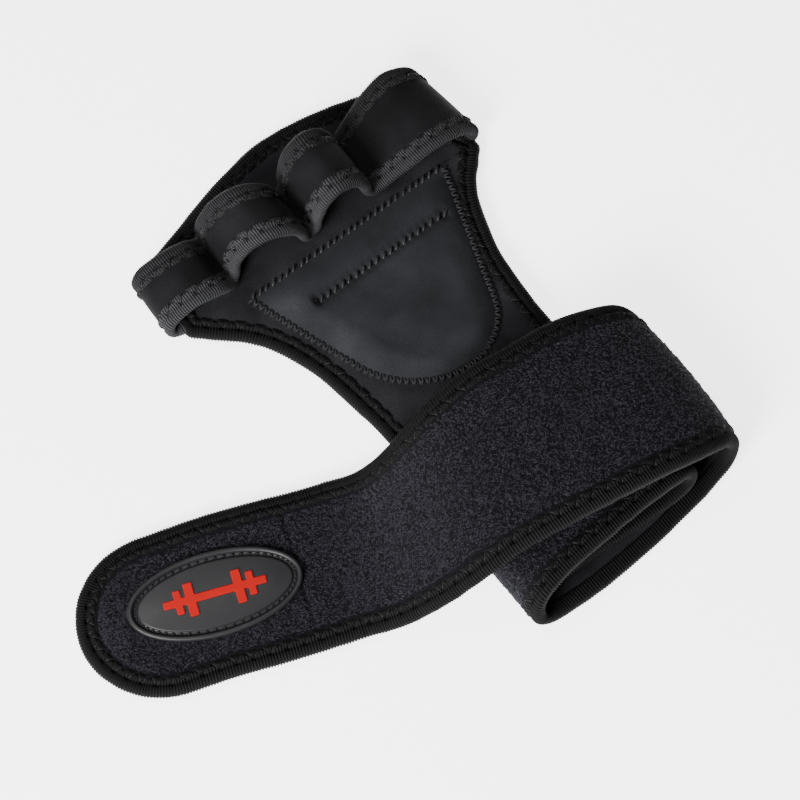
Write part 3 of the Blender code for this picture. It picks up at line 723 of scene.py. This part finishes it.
def thread_material(name, dark, light, roughness=0.5):
    """Return spun sewing thread with its twist."""
    material, tree, shader = new_material(name, roughness, 0.05, 0.3)
    twist = noise_texture(tree, millimetre_coordinates(tree, False), 3.0, 3.0)
    shade(tree, shader, twist, dark, light)
    raise_surface(tree, shader, twist, 0.5, 0.12)
    return material


def rubber_material(name, dark, light, roughness, grain, specular=0.15):
    """Return moulded rubber with a fine grain."""
    material, tree, shader = new_material(name, roughness, specular=specular)
    place = millimetre_coordinates(tree, False)
    fine = noise_texture(tree, place, 2.5, 5.0, Roughness=0.6)
    shade(tree, shader, noise_texture(tree, place, 0.15, 2.0), dark, light)
    inputs = {"Value": fine, "To Min": roughness - 0.05, "To Max": roughness + 0.08}
    rough = add_node(tree, "ShaderNodeMapRange", inputs)
    tree.links.new(rough.outputs["Result"], shader.inputs["Roughness"])
    raise_surface(tree, shader, fine, 0.35, grain)
    return material


MATERIALS = {
    "jersey": knit_material("jersey", (0.0030, 0.0030, 0.0036), (0.0195, 0.0195, 0.0220), 0.78, 0.03),
    "strip_jersey": knit_material(
        "strip_jersey", (0.0010, 0.0010, 0.0013), (0.0084, 0.0084, 0.0094), 0.78, 0.02),
    "pad": knit_material(
        "pad_jersey", (0.0086, 0.0088, 0.0102), (0.0225, 0.0230, 0.0264), 0.80, 0.05, 0.5, 0.10),
    "hook": knit_material(
        "hook_nylon", (0.0020, 0.0020, 0.0024), (0.0120, 0.0120, 0.0135), 0.75, 0.0, 1.7, 0.6, False),
    "binding": binding_material(
        "ribbed_knit", (0.0008, 0.0008, 0.0009), (0.0082, 0.0082, 0.0090), RIB_PITCH),
    # One knit in two tones: the wrist side's binding is painted lighter as painted light, and the finger
    # side's is painted darker as painted shade.
    "wrist_side": binding_material(
        "wrist_ribbed_knit_painted_light", (0.0004, 0.0004, 0.0005), (0.0860, 0.0860, 0.0920), STRIP_RIB_PITCH),
    "finger_side": binding_material(
        "finger_ribbed_knit_painted_shade", (0.0004, 0.0004, 0.0005), (0.0440, 0.0440, 0.0470), STRIP_RIB_PITCH),
    "fleece": fleece_material(),
    # The curls' yarn is painted lighter than the fleece ground: a painted highlight on the loops.
    "curl": thread_material("pile_yarn_painted_highlight", (0.0016, 0.0015, 0.0026), (0.0320, 0.0304, 0.0440), 0.50),
    "thread": thread_material("thread", (0.0015, 0.0015, 0.0018), (0.0080, 0.0080, 0.0085)),
    "rope": thread_material("pad_thread", (0.0030, 0.0030, 0.0040), (0.0260, 0.0260, 0.0290), 0.45),
    "outline": thread_material("outline_thread", (0.0015, 0.0015, 0.0020), (0.0150, 0.0150, 0.0170), 0.60),
    "badge": rubber_material("badge_rubber", (0.009, 0.009, 0.010), (0.014, 0.014, 0.015), 0.42, 0.08, 0.28),
    "mark": rubber_material("badge_red", (0.30, 0.0010, 0.0004), (0.38, 0.0016, 0.0008), 0.62, 0.05),
    "grip": rubber_material("grip_rubber", (0.006, 0.006, 0.007), (0.012, 0.012, 0.013), 0.55, 0.10),
}


# ---------------------------------------------------------------- pieces

def finish_piece(piece, slot, body=None, across_joint=None):
    """Tie the piece to its body, or bake its placement into its mesh when it lies between two bodies. The
    slot is not used.
    """
    if across_joint:
        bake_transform(piece)
    else:
        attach(piece, body)
    return piece


STRAP_TIES = {
    "inner": {"body": "wrap"},
    "fold": {"across_joint": ("wrap", "top_turn", (77.7, -55.5, 5.0), (77.7, -55.5, 21.5))},
    "top": {"body": "top_turn"},
    "tongue": {"across_joint": ("top_turn", "tongue", END_CENTRE - ALONG * 55.5, END_CENTRE - ALONG * 43.5)},
}
PANEL_TIE = {"across_joint": ("wrap", "palm", (21.6, -22.0, 0.0), (21.6, -12.0, 0.0))}


def open_pile(points, across, widths):
    """Return where the fleece lies open, inside the strap's bindings and its rounded end."""
    reach = TAPE_REACH + 0.3
    forward = (points - END_CENTRE) @ ALONG / (END_LENGTH - reach)
    sideways = (points - END_CENTRE) @ ACROSS / (END_HALF_WIDTH - reach)
    end = (forward > 0.0) & (forward ** 2 + sideways ** 2 > 1.0)
    return (across > reach) & (across < widths - reach) & ~end


def pile_curls(name, top, normals, is_open, tie):
    """Scatter small loops of yarn over a fleece surface, most of them lying along the strap."""
    random = np.random.default_rng(len(name) + top.shape[0])
    number = int(top.shape[0] * top.shape[1] * FLEECE_STEP ** 2 * CURLS_PER_MM2)
    row = random.integers(0, top.shape[0] - 1, number)
    column = random.integers(0, top.shape[1] - 1, number)
    kept = is_open[row, column]
    row, column, number = row[kept], column[kept], int(kept.sum())
    normal = normals[row, column]
    forward = unit(top[row + 1, column] - top[row, column])
    sideways = np.cross(normal, forward)
    turn = random.normal(0.0, CURL_TURN, (number, 1))
    heading = forward * np.cos(turn) + sideways * np.sin(turn)
    aside = np.cross(normal, heading)
    rise = unit(normal + aside * random.uniform(-CURL_LEAN, CURL_LEAN, (number, 1)))
    radius = random.uniform(*CURL_SIZES, (number, 1, 1))
    sweep = np.linspace(-0.10, 1.10, 5)[None, :, None] * math.pi
    shift = (random.random((2, number, 1)) - 0.5) * FLEECE_STEP
    centre = top[row, column] + forward * shift[0] + sideways * shift[1] - normal * 0.10
    loop = heading[:, None] * np.cos(sweep) + rise[:, None] * np.sin(sweep) * 0.6
    paths = centre[:, None] + radius * loop
    paths = paths + aside[:, None] * np.sin(sweep * 1.5) * random.uniform(0.0, 0.3, (number, 1, 1))
    normals_at = np.broadcast_to(aside[:, None], paths.shape)
    radii = np.full(sweep.shape[1], CURL_RADIUS)
    curls = threads("strap_pile_" + name, paths, normals_at, radii, MATERIALS["curl"], 4)
    return finish_piece(curls, "loop_pile", **tie)


def strap_cloth(name, places, along, parts, tie, end=None):
    """Make one length of the strap: fleece outside, jersey inside."""
    points, normals, widths = ruled(STRAP_NEAR, STRAP_FAR, places, parts, True)
    across = parts * widths[:, None]
    if end is not None:
        points = np.concatenate([points, end[0]])
        normals = np.concatenate([normals, np.broadcast_to(UP, end[0].shape)])
        along = np.concatenate([along, end[1]])
        across = np.concatenate([across, end[2]])
        widths = np.concatenate([widths, np.full(len(end[1]), 2.0 * END_HALF_WIDTH)])
    rise = NEOPRENE / 2.0 + PILE_HEIGHT * (pile(along[:, None], across) - 0.35)
    from_seam = (points - HOOK_CENTRE) @ ALONG + HOOK_SEAM
    rise = rise - SEAM_DEPTH * np.exp(-(from_seam / SEAM_DEPTH) ** 2)
    top = points + normals * rise[..., None]
    bottom = points - normals * (NEOPRENE / 2.0)
    made = slab("strap_cloth_" + name, top, bottom, [MATERIALS["fleece"], MATERIALS["jersey"]], along, across)
    pile_curls(name, top, normals, open_pile(points, across, widths[:, None]), tie)
    return finish_piece(made, "loop_pile", **tie)


def sew_binding(family, label, edge, node, tie, span=None, thickness=TAPE_THICKNESS, level=SEAM_LEVEL,
                material="binding", pitch=RIB_PITCH):
    """Sew a binding on an edge, or on a span of it, in place of a node; return it and its stitches."""
    tape_span = span or (0.0, edge.length)
    seam_span = span or (1.0, edge.length - 1.0)
    tape = binding(family + "_binding_" + label, edge, tape_span, thickness, MATERIALS[material], pitch)
    finish_piece(tape, "ribbed_tape", **tie)
    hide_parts(node)
    seam = zigzag(family + "_stitches_" + label, edge, seam_span, level, MATERIALS["thread"])
    finish_piece(seam, "ribbed_tape", **tie)
    return [tape, seam]


def tongue_end(start_along):
    """Return the grid of the tongue's rounded end, with lengths along it and distances across it."""
    turn = np.linspace(0.0, math.radians(88.5), 60)[1:]
    forward = (END_LENGTH - CLOTH_INSET) * np.sin(turn)
    half = (END_HALF_WIDTH - CLOTH_INSET) * np.cos(turn)
    side = np.linspace(-1.0, 1.0, STRAP_COLUMNS)
    across = half[:, None] * side
    grid = END_CENTRE + UP * TONGUE_Z + forward[:, None, None] * ALONG + across[..., None] * ACROSS
    return grid, start_along + forward, across + END_HALF_WIDTH


def make_strap():
    """Make the strap's cloth, bindings and stitches."""
    share = np.linspace(0.0, 1.0, STRAP_COLUMNS)
    cuts = (("inner", 0.0, INNER_CUT), ("fold", INNER_CUT, FOLD_CUT), ("top", FOLD_CUT, TONGUE_CUT),
            ("tongue", TONGUE_CUT, STRAIGHT_END))
    cloths = {}
    for name, start, stop in cuts:
        places, along = even_places(STRAP_NEAR, STRAP_FAR, (start, stop), FLEECE_STEP)
        parts = cloth_parts(STRAP_NEAR, STRAP_FAR, places, share)
        end = tongue_end(along[-1]) if name == "tongue" else None
        cloths[name] = strap_cloth(name, places, along, parts, STRAP_TIES[name], end)
    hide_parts("strap_inner_turn")
    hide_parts("strap_outer_turn")
    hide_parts("strap_top")
    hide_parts("strap_tongue")
    edge = strap_edge()
    marks = [0.0, *strap_lengths(edge), edge.length]
    spans = zip(("inner", "fold", "top", "tongue", "top", "fold", "inner"),
                ("near", "near", "near", "end", "far", "far", "far"), marks, marks[1:])
    nodes = {"inner": "strap_inner_turn_tape_", "fold": "strap_outer_turn_tape_", "top": "strap_top_tape_"}
    sewn = {name: ["strap_pile_" + name] for name in cloths}
    for name, side, start, stop in spans:
        node = "strap_tongue_tape" if name == "tongue" else nodes[name] + side
        sewn[name] += sew_binding("strap", name + "_" + side, edge, node, STRAP_TIES[name], (start, stop))


def make_strip():
    """Make the finger strip with its four loops, its bindings and its stitches.

    Its finger side comes first in ruled(), so that its normals point away from the palm.
    """
    last = len(STRIP_NEAR) - 1.0
    places, along = even_places(STRIP_NEAR, STRIP_FAR, (0.0, last), 0.6)
    share = np.linspace(0.0, 1.0, 28)
    parts = cloth_parts(STRIP_NEAR, STRIP_FAR, places, share)
    points, normals, width = ruled(STRIP_FAR, STRIP_NEAR, places, parts)
    puff = 0.25 * np.sin(math.pi * share) ** 0.5
    top = points + normals * (STRIP_THICKNESS / 2.0 + puff)[None, :, None]
    bottom = points - normals * (STRIP_THICKNESS / 2.0)
    cloth = slab("finger_strip_cloth", top, bottom, [MATERIALS["strip_jersey"]] * 2, along,
                 parts * width[:, None])
    finish_piece(cloth, "jersey", "palm")
    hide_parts("finger_strip")
    dense = np.linspace(0.0, last, 1600)
    sewn = []
    for far_side, side in ((True, "wrist_side"), (False, "finger_side")):
        edge = Edge(*ruled_rails(STRIP_FAR, STRIP_NEAR, dense, far_side))
        sewn += sew_binding("finger_strip", side, edge, "finger_strip_tape_" + side, {"body": "palm"},
                            None, STRIP_TAPE_THICKNESS, STRIP_SEAM_LEVEL, side, STRIP_RIB_PITCH)


def make_panel():
    """Make the palm panel, its bindings and their stitches."""
    across = np.linspace(0.0, 1.0, 80)
    along = np.linspace(0.0, 1.0, 110)
    flat = panel_flat(across, along, CLOTH_INSET)
    normals = panel_normal(flat)
    ripple = 0.10 * noise(flat[..., 0] / 9.0, flat[..., 1] / 9.0, 41)
    points = on_panel(flat)
    top = points + normals * (NEOPRENE / 2.0 + ripple)[..., None]
    bottom = points - normals * (NEOPRENE / 2.0)
    cloth = slab("palm_cloth", top, bottom, [MATERIALS["jersey"]] * 2, flat[:, 40, 1], flat[..., 0])
    finish_piece(cloth, "jersey", **PANEL_TIE)
    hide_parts("palm_panel")
    last = len(PANEL_LEFT) - 1.0
    edges = (("left", PANEL_LEFT, (0.0, last + LEFT_BINDING_REACH), -1.0),
             ("right", PANEL_RIGHT, (0.0, last), 1.0),
             ("fingers", PANEL_FINGER, FINGER_BINDING_SPAN, -1.0))
    sewn = []
    for name, points, span, turn in edges:
        edge = flat_edge(spline(points, np.linspace(*span, 500)), turn)
        tie = {"body": "palm"} if name == "fingers" else PANEL_TIE
        sewn += sew_binding("palm", name, edge, "palm_tape_" + name, tie)


def make_pad():
    """Make the puffed palm pad, its zigzag outline, its top row and the channel sewn across it."""
    rows = pad_rows(130)
    left = pad_side(rows, PAD_SIDES[0])
    right = pad_side(rows, PAD_SIDES[1])
    x = left[:, None] + (right - left)[:, None] * np.linspace(0.0, 1.0, 120)
    y = np.broadcast_to(rows[:, None], x.shape)
    edge_share = shoulder(np.minimum(x - left[:, None], right[:, None] - x))
    height = PAD_HEIGHT * edge_share * shoulder(np.minimum(y - PAD_HEEL, PAD_TOP - y))
    inside = ease(x, CHANNEL_X[0], CHANNEL_X[0] + 3.0) - ease(x, CHANNEL_X[1] - 3.0, CHANNEL_X[1])
    near_channel = np.exp(-((y - CHANNEL_Y) / PUCKER_WIDTH) ** 2)
    pucker = PUCKER_DEPTH * np.sin(4.0 * math.pi * x / STITCH_PITCH) * near_channel
    groove = inside * (CHANNEL_DEPTH * np.exp(-((y - CHANNEL_Y) / CHANNEL_WIDTH) ** 2) + pucker)
    flat = np.stack([x, y], axis=-1)
    base = NEOPRENE / 2.0 - 0.2
    top = on_panel(flat, base + 0.5 + height - groove)
    bottom = on_panel(flat, base - 0.3)
    pad = slab("palm_pad", top, bottom, [MATERIALS["pad"]] * 2, rows, x)
    finish_piece(pad, "pad_jersey", "palm")
    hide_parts("palm_pad_cover", "palm_pad_foam")
    down = rows[::-1]
    outline = np.concatenate([np.stack([pad_side(down, PAD_SIDES[0]), down], axis=1),
                              np.stack([pad_side(rows, PAD_SIDES[1]), rows], axis=1)])
    rim = flat_edge(outline, 1.0)
    seam = zigzag("palm_pad_outline_stitches", rim, (0.0, rim.length), OUTLINE_LEVEL, MATERIALS["outline"],
                  OUTLINE_PITCH, OUTLINE_ROWS, OUTLINE_THREAD, 0.30)
    finish_piece(seam, "pad_jersey", "palm")
    for name, reach, y, level in (("top", PAD_TOP_ROW, PAD_TOP, PAD_TOP_LEVEL),
                                  ("channel", CHANNEL_X, CHANNEL_Y, CHANNEL_LEVEL)):
        x = np.linspace(*reach, 200)
        row = flat_edge(np.stack([x, np.full_like(x, y)], axis=1), 1.0)
        seam = zigzag("palm_pad_" + name + "_stitches", row, (0.0, row.length), level, MATERIALS["rope"],
                      STITCH_PITCH, ROPE_ROWS, ROPE_THREAD, 0.25, True)
        finish_piece(seam, "pad_jersey", "palm")


def make_grip_patch():
    """Make the pebbled patch under the palm."""
    across = np.linspace(*GRIP_ACROSS, 150)
    along = np.linspace(*GRIP_ALONG, 150)
    flat = panel_flat(across, along, TAPE_WIDTH + 0.3)
    top = on_panel(flat, -NEOPRENE / 2.0 - 0.1)
    x, y = flat[..., 0] / PEBBLE_PITCH, flat[..., 1] / PEBBLE_PITCH
    dots = np.cos(2.0 * math.pi * x) * np.cos(2.0 * math.pi * y / math.sqrt(3.0))
    pebbles = PEBBLE_HEIGHT * (1.0 - np.clip(dots, -0.2, 0.6) / 0.6)
    bottom = on_panel(flat, -NEOPRENE / 2.0 - GRIP_BOTTOM + pebbles)
    patch = slab("palm_grip_patch", top, bottom, [MATERIALS["grip"]] * 2, flat[:, 75, 1], flat[..., 0])
    finish_piece(patch, "grip_rubber", "palm")
    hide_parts("grip_patch")


def make_hook_patch():
    """Give the hook patch its finish and its field of small hooks."""
    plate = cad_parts["hook_patch"]
    plate.data.materials.clear()
    plate.data.materials.append(MATERIALS["hook"])
    forward, sideways = (np.arange(HOOK_MARGIN - size / 2.0, size / 2.0 - HOOK_MARGIN + 0.5, HOOK_PITCH)
                         for size in HOOK_SIZE)
    grid = np.stack(np.meshgrid(forward, sideways, indexing="ij"), axis=-1).reshape(-1, 2)
    part = np.linspace(0.0, 1.0, 6)
    bend = 0.55 * np.sin(part * math.pi * 0.75)
    drop = 0.35 - 0.9 * np.sin(part * math.pi * 0.62)
    foot = HOOK_CENTRE + grid[:, :1] * ALONG + grid[:, 1:] * ACROSS
    paths = foot[:, None] + bend[None, :, None] * ALONG + drop[None, :, None] * UP + UP * 0.6
    paths[..., 2] = np.maximum(paths[..., 2], 0.16)
    radii = np.full(len(part), HOOK_RADIUS)
    hooks = threads("hook_field", paths, np.broadcast_to(ACROSS, paths.shape), radii, MATERIALS["hook"], 4)
    finish_piece(hooks, "hook_tape", "tongue")


def oval(inset, turn):
    """Return points of the badge's outline moved inwards."""
    forward = (BADGE_SEMI[0] - inset)[..., None] * np.cos(turn)[..., None] * ALONG
    sideways = (BADGE_SEMI[1] - inset)[..., None] * np.sin(turn)[..., None] * ACROSS
    return BADGE_CENTRE + forward + sideways


def make_badge():
    """Make the oval badge with its rolled rim, sewn groove, smooth face and plain barbell mark."""
    bottom = TONGUE_Z + NEOPRENE / 2.0 + 0.3
    turn = np.linspace(0.0, 2.0 * math.pi, 240, endpoint=False)
    roll = [(0.95 * (1.0 - math.cos(a)), 1.0 + 0.85 * math.sin(a)) for a in np.linspace(0.0, math.pi, 11)]
    groove = [(2.15, 0.75), (2.9, 0.72), (3.3, 0.95)]
    face = [(3.3 + 0.6 * (1.0 - math.cos(a)), 0.95 + 0.42 * math.sin(a))
            for a in np.linspace(0.3, math.pi / 2.0, 4)]
    dome = [(inset, 1.37 + 0.65 * math.sin((inset - 3.9) / 10.0 * math.pi / 2.0))
            for inset in np.linspace(4.6, 13.9, 9)]
    profile = np.array([(0.3, -0.3), (0.0, 0.3), *roll, *groove, *face, *dome])
    rings = oval(profile[:, :1] + 0.0 * turn, turn + 0.0 * profile[:, :1])
    rings = rings + UP * (bottom + profile[:, 1])[:, None, None]
    badge = tube("badge", rings, [MATERIALS["badge"]])
    finish_piece(badge, "badge_rubber", "tongue")
    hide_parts("badge_plate")
    middle = np.linspace(0.0, 2.0 * math.pi, BADGE_DASHES, endpoint=False)[:, None]
    dash_turn = middle + np.linspace(-0.034, 0.034, 6) * (1.0 + 0.25 * np.cos(2.0 * middle))
    arch = np.sin(math.pi * np.linspace(0.0, 1.0, 6))
    paths = oval(np.full(dash_turn.shape, 2.5), dash_turn) + UP * (bottom + 0.70 + 0.38 * arch)[None, :, None]
    sewing = threads("badge_stitches", paths, np.broadcast_to(UP, paths.shape), 0.18 + 0.16 * arch,
                     MATERIALS["thread"])
    finish_piece(sewing, "badge_rubber", "tongue")
    make_mark(bottom + MARK_LEVEL)


def make_mark(level):
    """Make the raised barbell mark with softened edges."""
    mesh = bmesh.new()
    outline = []
    for side, rise in ((1.0, 1.0), (1.0, -1.0), (-1.0, -1.0), (-1.0, 1.0)):
        quarter = MARK_QUARTER if side * rise > 0.0 else MARK_QUARTER[::-1]
        outline += [BADGE_CENTRE + ALONG * x * side + ACROSS * y * rise for x, y in quarter]
    corners = [mesh.verts.new(to_frame(point + UP * level)) for point in outline]
    face = mesh.faces.new(corners)
    grown = bmesh.ops.extrude_face_region(mesh, geom=[face])
    for item in grown["geom"]:
        if isinstance(item, bmesh.types.BMVert):
            item.co.z += MARK_THICKNESS * MM
    upright = [edge for edge in mesh.edges if abs(edge.verts[0].co.z - edge.verts[1].co.z) > 1e-5]
    bmesh.ops.bevel(mesh, geom=upright, offset=0.45 * MM, segments=4, profile=0.5, affect="EDGES")
    highest = max(vertex.co.z for vertex in mesh.verts)
    rim = [edge for edge in mesh.edges if all(abs(v.co.z - highest) < 1e-6 for v in edge.verts)]
    bmesh.ops.bevel(mesh, geom=rim, offset=0.25 * MM, segments=3, profile=0.5, affect="EDGES")
    bmesh.ops.recalc_face_normals(mesh, faces=mesh.faces)
    data = bpy.data.meshes.new("badge_barbell")
    mesh.to_mesh(data)
    mesh.free()
    data.materials.append(MATERIALS["mark"])
    mark = new_object("badge_barbell", data)
    finish_piece(mark, "badge_red", "tongue")
    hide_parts("badge_mark")


# ---------------------------------------------------------------- camera, floor and light

AZIMUTH = math.radians(37.0)
ELEVATION = math.radians(70.0)
LOOK_AT = Vector(to_frame((0.0, 0.0, 0.0)))
FORWARD = Vector((math.sin(AZIMUTH) * math.cos(ELEVATION), math.cos(AZIMUTH) * math.cos(ELEVATION),
                  -math.sin(ELEVATION)))
RIGHT = Vector((math.cos(AZIMUTH), -math.sin(AZIMUTH), 0.0))
AHEAD = Vector((math.sin(AZIMUTH), math.cos(AZIMUTH), 0.0))
LENS = 165.2
DISTANCE = 1.2


def aimed_object(name, data, offset):
    """Make a camera or a light at an offset from the grip, facing it."""
    made = new_object(name, data)
    made.location = LOOK_AT + offset
    made.rotation_mode = "QUATERNION"
    made.rotation_quaternion = (-offset).to_track_quat("-Z", "Y")
    return made


def make_camera():
    """Set the camera at the photograph's angle and distance."""
    data = bpy.data.cameras.new("camera")
    data.lens = LENS
    data.sensor_width = 36.0
    bpy.context.scene.camera = aimed_object("camera", data, FORWARD * -DISTANCE)


def soft_light(name, offset, size, power):
    """Hang a square soft light that faces the grip."""
    data = bpy.data.lights.new(name, "AREA")
    data.shape = "SQUARE"
    data.size = size
    data.energy = power
    aimed_object(name, data, offset)


def make_stage():
    """Make the pale floor, the even surroundings and the soft lights."""
    mesh = bmesh.new()
    bmesh.ops.create_grid(mesh, x_segments=1, y_segments=1, size=6.0)
    data = bpy.data.meshes.new("floor")
    mesh.to_mesh(data)
    mesh.free()
    material, tree, shader = new_material("floor", 0.9, specular=0.1)
    shader.inputs["Base Color"].default_value = (0.92, 0.92, 0.92, 1.0)
    shader.inputs["Emission Color"].default_value = (1.0, 1.0, 1.0, 1.0)
    shader.inputs["Emission Strength"].default_value = 3.2
    data.materials.append(material)
    floor = new_object("floor", data)
    floor.location.z = -0.1 * MM
    world = bpy.data.worlds.new("studio")
    world.use_nodes = True
    background = world.node_tree.nodes["Background"]
    background.inputs["Color"].default_value = (1.0, 1.0, 1.0, 1.0)
    background.inputs["Strength"].default_value = 0.15
    bpy.context.scene.world = world
    soft_light("key", -RIGHT * 0.56 - AHEAD * 0.88 + Vector((0.0, 0.0, 0.78)), 0.55, 46.0)
    soft_light("top", -RIGHT * 0.32 + AHEAD * 0.14 + Vector((0.0, 0.0, 0.90)), 0.3, 4.0)


make_camera()
make_stage()
make_strap()
make_panel()
make_strip()
make_pad()
make_grip_patch()
make_hook_patch()
make_badge()
